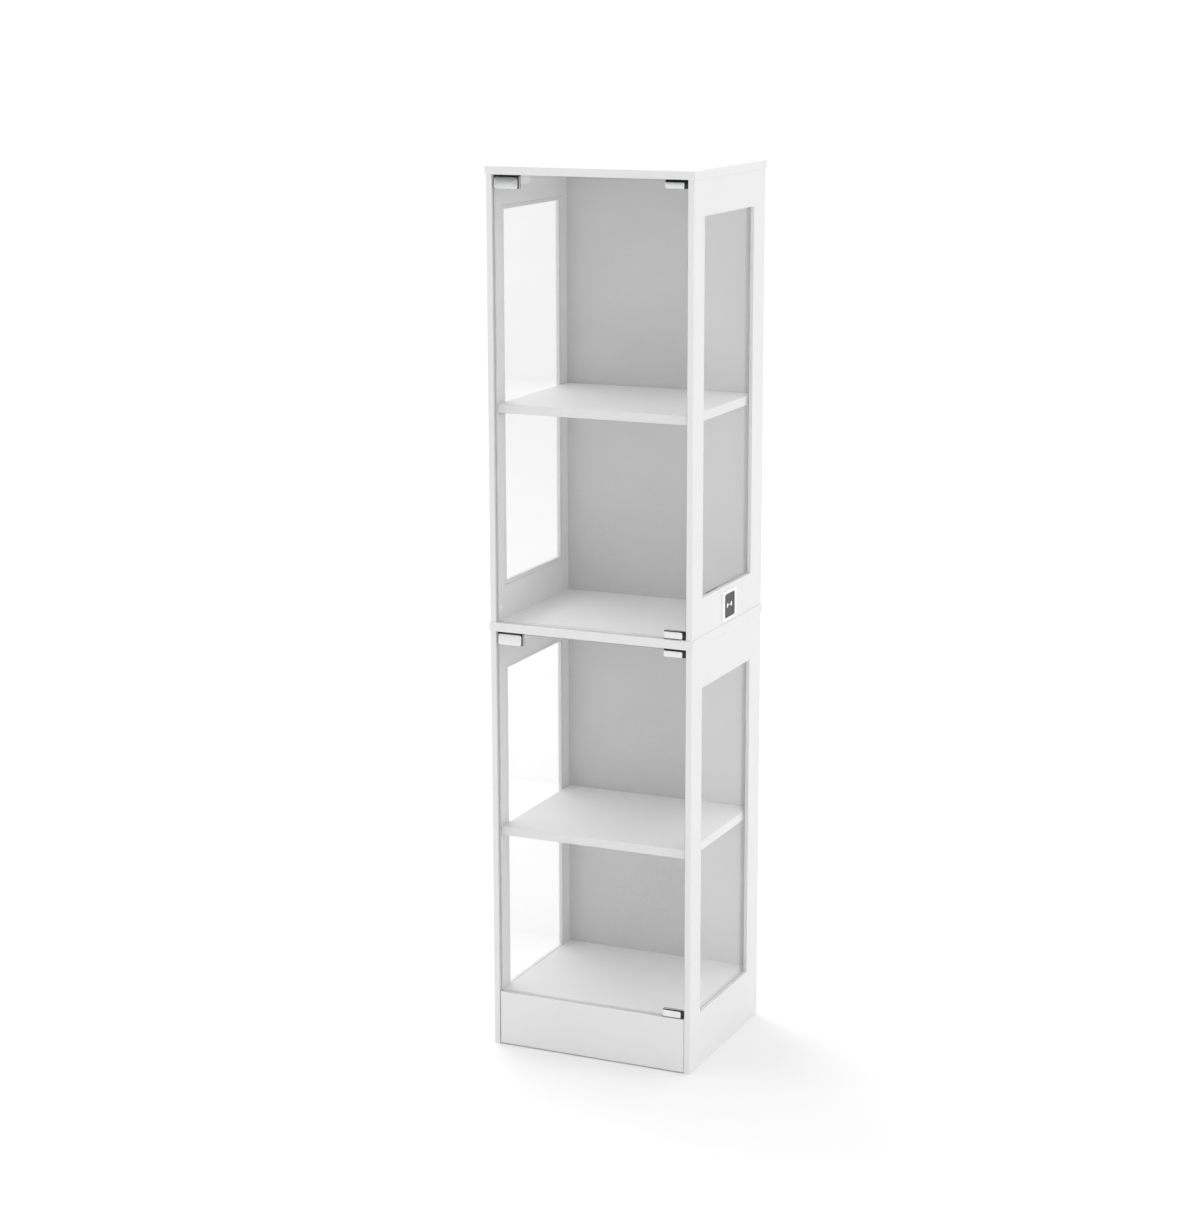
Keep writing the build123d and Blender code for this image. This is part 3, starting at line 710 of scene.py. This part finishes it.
low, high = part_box("latch_screws")
screw_length = high.z - (housing["upper"][0].z + COUNTERBORE - HEAD_H)
places = [
    ((plunger[stage].x, y, housing[stage][0].z + COUNTERBORE - HEAD_H), Z, screw_length)
    for stage in STAGES
    for y in SCREW_ROWS
]
screws("latch_screws", places)

low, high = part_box("wall_bracket_screws")
screw_y = (low.y + high.y) / 2
places = [((x, screw_y, low.z), Z, high.z - low.z) for x in (low.x + HEAD_R, high.x - HEAD_R)]
screws("wall_bracket_screws", places)

low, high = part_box("corner_block_screws")
block_low, block_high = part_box("corner_blocks")
length = high.z - low.z
BLOCK_HALF, BLOCK_SCREW_X, BLOCK_SCREW_IN = 15.0 * MM, 8.0 * MM, 13.0 * MM
corner_x = block_high.x - BLOCK_HALF
places = []
for side in (-1, 1):
    for x in (corner_x - BLOCK_SCREW_X, corner_x + BLOCK_SCREW_X):
        places.append(((side * x, block_low.y + BLOCK_SCREW_IN, low.z), Z, length))
    places.append(((side * corner_x, high.y, block_high.z - BLOCK_SCREW_IN), -Y, length))
screws("corner_block_screws", places)

PIN_R, PIN_FLANGE_R, PIN_REACH = 2.5 * MM, 4.0 * MM, 9.0 * MM
BUSH_R, BUSH_FLANGE_R, BUSH_BORE_R = 3.5 * MM, 5.0 * MM, 2.05 * MM
BUSH_L, BUSH_TOTAL = 6.0 * MM, 6.5 * MM
HOUSING_R = 3.0 * MM
PLUNGER_BORE_R, PLUNGER_BORE_L = 4.1 * MM, 33.0 * MM

for stage in STAGES:
    low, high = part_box(f"shelf_pins_{stage}")
    pin_z = (low.z + high.z) / 2
    bite = high.x - INNER_X
    total = bite + PIN_REACH
    profile = [(0, 0), (0, 2.1 * MM), (0.4 * MM, PIN_R), (bite, PIN_R)]
    profile += [(bite, PIN_FLANGE_R), (bite + 0.5 * MM, PIN_FLANGE_R)]
    profile += [(bite + 0.8 * MM, 3.6 * MM), (bite + 0.8 * MM, PIN_R), (total - 0.7 * MM, PIN_R)]
    profile += [(total - 0.2 * MM, 2.1 * MM), (total, 1.2 * MM), (total, 0)]
    bm = bmesh.new()
    for side in (-1, 1):
        for y in (low.y + PIN_FLANGE_R, high.y - PIN_FLANGE_R):
            lathe(bm, (side * high.x, y, pin_z), -side * X, profile, 24)
    piece(f"shelf_pins_{stage}_turned", bm, zinc, "carcass", [f"shelf_pins_{stage}"])

    # Hinge bushes
    name = f"hinge_bushes_{stage}"
    low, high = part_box(name)
    x, y = (low.x + high.x) / 2, (low.y + high.y) / 2
    profile = [(0, BUSH_BORE_R), (0, BUSH_R - 0.4 * MM), (0.4 * MM, BUSH_R), (BUSH_L, BUSH_R)]
    profile += [(BUSH_L, BUSH_FLANGE_R - 0.05 * MM), (6.4 * MM, BUSH_FLANGE_R)]
    profile += [(BUSH_TOTAL, BUSH_FLANGE_R - 0.15 * MM), (BUSH_TOTAL, BUSH_BORE_R + 0.2 * MM)]
    profile += [(6.3 * MM, BUSH_BORE_R), (0, BUSH_BORE_R)]
    bm = bmesh.new()
    for end, way in ((low.z, Z), (high.z, -Z)):
        lathe(bm, (x, y, end), way, profile, 32)
    bmesh.ops.remove_doubles(bm, verts=bm.verts, dist=1e-7)
    piece(f"{name}_moulded", bm, white_plastic, "carcass", [name])

    # Push latch
    name = f"latch_housing_{stage}"
    low, high = housing[stage]
    middle = (low + high) / 2
    half_x, half_y = (high.x - low.x) / 2, (high.y - low.y) / 2
    rings = []
    for z, inset in (
        (low.z, 1.0 * MM),
        (low.z + 0.15 * MM, 0.5 * MM),
        (low.z + 0.5 * MM, 0.15 * MM),
        (low.z + 1.0 * MM, 0.0),
        (high.z, 0.0),
    ):
        outline = rounded_outline(half_x - inset, half_y - inset, HOUSING_R - inset, 6)
        rings.append([(middle.x + u, middle.y + v, z) for u, v in outline])
    bm = bmesh.new()
    loft(bm, rings)
    made = piece(f"{name}_moulded", bm, white_plastic, "carcass", [name])
    holes = bmesh.new()
    profile = [(0, 0), (0, 5.2 * MM), (1.2 * MM, 4.6 * MM), (1.7 * MM, PLUNGER_BORE_R)]
    profile += [(PLUNGER_BORE_L, PLUNGER_BORE_R), (PLUNGER_BORE_L, 0)]
    lathe(holes, (plunger[stage].x, low.y - 1.0 * MM, plunger[stage].z), Y, profile)
    cut(made, holes)
    past = high.z - low.z + 1.0 * MM
    profile = [(-1.0 * MM, 0), (-1.0 * MM, 3.4 * MM), (0.3 * MM, COUNTERBORE_R)]
    profile += [(COUNTERBORE, COUNTERBORE_R), (COUNTERBORE, CLEAR_R), (past, CLEAR_R), (past, 0)]
    for y in SCREW_ROWS:
        holes = bmesh.new()
        lathe(holes, (plunger[stage].x, y, low.z), Z, profile)
        cut(made, holes)

    name = f"latch_plunger_{stage}"
    low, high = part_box(name)
    length, radius = high.y - low.y, (high.x - low.x) / 2
    groove_r = radius - 0.35 * MM
    profile = [(0, 0), (0, radius - 0.3 * MM), (0.3 * MM, radius), (1.6 * MM, radius)]
    profile += [(1.9 * MM, groove_r), (2.7 * MM, groove_r), (3.0 * MM, radius)]
    profile += [(length - 0.6 * MM, radius), (length, radius - 0.6 * MM), (length, 0)]
    bm = bmesh.new()
    lathe(bm, (plunger[stage].x, low.y, plunger[stage].z), Y, profile, 40)
    piece(f"{name}_moulded", bm, white_plastic, f"plunger_{stage}", [name])

    name = f"latch_magnet_{stage}"
    low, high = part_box(name)
    thick, radius = high.y - low.y, (high.x - low.x) / 2
    profile = [(0, 0), (0, radius - 0.45 * MM), (0.1 * MM, radius - 0.2 * MM)]
    profile += [(0.3 * MM, radius - 0.03 * MM), (0.5 * MM, radius), (thick, radius), (thick, 0)]
    bm = bmesh.new()
    lathe(bm, (plunger[stage].x, low.y, plunger[stage].z), Y, profile, 40)
    piece(f"{name}_turned", bm, magnet_steel, f"plunger_{stage}", [name])

low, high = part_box("cam_caps")
CAP_R, CAP_T = 7.0 * MM, 0.8 * MM
CAP_RISE = 66.0 * MM  # from the lowest row of caps to the next
top_cap = high.z - CAP_R
bottom_cap = low.z + CAP_R
bm = bmesh.new()
profile = [(0, 0), (0, CAP_R), (0.25 * MM, CAP_R), (0.5 * MM, CAP_R - 0.3 * MM)]
profile += [(0.68 * MM, CAP_R - 1.3 * MM), (0.76 * MM, CAP_R - 3.2 * MM)]
profile += [(CAP_T, 1.5 * MM), (CAP_T, 0)]
for side in (-1, 1):
    for y in (low.y + CAP_R, high.y - CAP_R):
        for z in (bottom_cap, bottom_cap + CAP_RISE, top_cap):
            lathe(bm, (side * high.x, y, z), -side * X, profile, 40)
piece("cam_caps_domed", bm, white_plastic, "carcass", ["cam_caps"])

low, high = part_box("wall_bracket")
PLATE, BEND_R = 2.0 * MM, 2.5 * MM
CORNER_R = 6.0 * MM
WALL_HOLE_R, WALL_HOLE_DROP = 3.0 * MM, 22.0 * MM
half = (high.x - low.x) / 2
turns = [math.pi / 2 * i / 5 for i in range(6)]


def bend(y, z, radius):
    """Points round the bracket's bend, from its plate under the board to the one at the wall."""
    return [(y - radius * (1 - math.sin(t)), z - radius * (1 - math.cos(t))) for t in turns]


outer = bend(high.y, high.z, BEND_R)
inner = bend(high.y - PLATE, high.z - PLATE, BEND_R - PLATE)
places = [(-half + CORNER_R * (1 - math.cos(t)), CORNER_R * (1 - math.sin(t))) for t in turns]
places += [(-x, rise) for x, rise in reversed(places)]
rings = []
for x, rise in places:
    profile = [(low.y, high.z), *outer, (high.y, low.z + rise), (high.y - PLATE, low.z + rise)]
    profile += [*reversed(inner), (low.y, high.z - PLATE)]
    rings.append([(x, y, z) for y, z in profile])
bm = bmesh.new()
loft(bm, rings)
made = piece("wall_bracket_bent", bm, zinc, "carcass", ["wall_bracket"])
holes = bmesh.new()
drills = [((0, high.y + 1.0 * MM, high.z - WALL_HOLE_DROP), -Y, WALL_HOLE_R)]
screw_low, screw_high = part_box("wall_bracket_screws")
for x in (screw_low.x + HEAD_R, screw_high.x - HEAD_R):
    drills.append(((x, (screw_low.y + screw_high.y) / 2, high.z + 1.0 * MM), -Z, CLEAR_R))
reach = PLATE + 2.0 * MM
for start, way, radius in drills:
    lathe(holes, start, way, ((0, 0), (0, radius), (reach, radius), (reach, 0)))
cut(made, holes)


# Camera, as the photograph was taken


CAMERA_AT = Vector((2.205, -5.0635, 2.1408))
AZIMUTH, DOWN_TILT, ROLL = math.radians(24.113), math.radians(12.504), math.radians(0.1126)
LENS = 83.17

camera_data = bpy.data.cameras.new("camera")
camera_data.lens = LENS
camera_data.sensor_width = 36.0
camera_data.clip_start = 0.05
camera_data.clip_end = 500.0
camera = bpy.data.objects.new("camera", camera_data)
ahead = Vector(
    (
        -math.sin(AZIMUTH) * math.cos(DOWN_TILT),
        math.cos(AZIMUTH) * math.cos(DOWN_TILT),
        -math.sin(DOWN_TILT),
    )
)
turned = ahead.to_track_quat("-Z", "Y").to_matrix() @ Matrix.Rotation(-ROLL, 3, "Z")
camera.matrix_world = Matrix.Translation(CAMERA_AT) @ turned.to_4x4()
scene.collection.objects.link(camera)
scene.camera = camera


# Floor and light


floor_bm = bmesh.new()
bmesh.ops.create_grid(floor_bm, x_segments=8, y_segments=8, size=200.0)
floor_mesh = bpy.data.meshes.new("floor")
floor_bm.to_mesh(floor_mesh)
floor_bm.free()
floor = bpy.data.objects.new("floor", floor_mesh)
scene.collection.objects.link(floor)
floor_look = Shader("pale_floor")
floor_mesh.materials.append(
    floor_look.set(
        Base_Color=floor_look.ramp(floor_look.noise(0.6, 3.0), 0.93, 0.94),
        Roughness=0.75,
        Specular_IOR_Level=0.2,
    )
)

world = bpy.data.worlds.new("studio")
scene.world = world
world.use_nodes = True
sky = world.node_tree
ways = sky.nodes.new("ShaderNodeTexCoord")
split = sky.nodes.new("ShaderNodeSeparateXYZ")
sky.links.new(ways.outputs["Generated"], split.inputs["Vector"])


def sky_step(axis, start, end, low, high):
    """A brightness that goes from low to high as the way's part along axis goes from start to end."""
    node = sky.nodes.new("ShaderNodeMapRange")
    node.interpolation_type = "SMOOTHSTEP"
    sky.links.new(split.outputs[axis], node.inputs["Value"])
    for key, value in (("From Min", start), ("From Max", end), ("To Min", low), ("To Max", high)):
        node.inputs[key].default_value = value
    return node.outputs["Result"]


def sky_math(operation, first, second):
    node = sky.nodes.new("ShaderNodeMath")
    node.operation = operation
    for socket, value in zip(node.inputs, (first, second)):
        if isinstance(value, float):
            socket.default_value = value
        else:
            sky.links.new(value, socket)
    return node.outputs[0]


SKY = 1.2
front = sky_step("Y", -0.95, -0.25, 0.5, 1.0)
left = sky_step("X", -0.95, -0.3, 0.27, 0.0)
rear = sky_step("Y", 0.2, 0.95, 0.0, -0.08)
right = sky_step("X", 0.3, 0.95, 0.0, -0.06)
round_about = sky_math("ADD", sky_math("ADD", front, left), sky_math("ADD", right, rear))
felt = sky_math("MULTIPLY", round_about, SKY)
path = sky.nodes.new("ShaderNodeLightPath")
upper = sky_step("Z", -0.02, 0.1, 0.0, 0.88)
dark_front = sky_math("MULTIPLY", sky_step("Y", -0.4, 0.0, 1.0, 0.0), upper)
mirrored = sky_math("MULTIPLY", dark_front, path.outputs["Is Glossy Ray"])
felt = sky_math("MULTIPLY", felt, sky_math("SUBTRACT", 1.0, mirrored))
seen_directly = path.outputs["Is Camera Ray"]
strength = sky_math("MAXIMUM", felt, sky_math("MULTIPLY", seen_directly, 1.3))
sky.links.new(strength, sky.nodes["Background"].inputs["Strength"])
sky.nodes["Background"].inputs["Color"].default_value = (1, 1, 1, 1)


def area_light(name, at, aim, size, power):
    data = bpy.data.lights.new(name, "AREA")
    data.shape = "RECTANGLE"
    data.size, data.size_y = size
    data.energy = power
    obj = bpy.data.objects.new(name, data)
    obj.location = at
    obj.rotation_euler = (Vector(aim) - Vector(at)).to_track_quat("-Z", "Y").to_euler()
    obj.visible_camera = False
    scene.collection.objects.link(obj)
    return obj


area_light("key", (-3.2, 2.6, 4.6), (0, 0, 0.8), (2.4, 2.4), 50)

scene.view_settings.view_transform = "Standard"
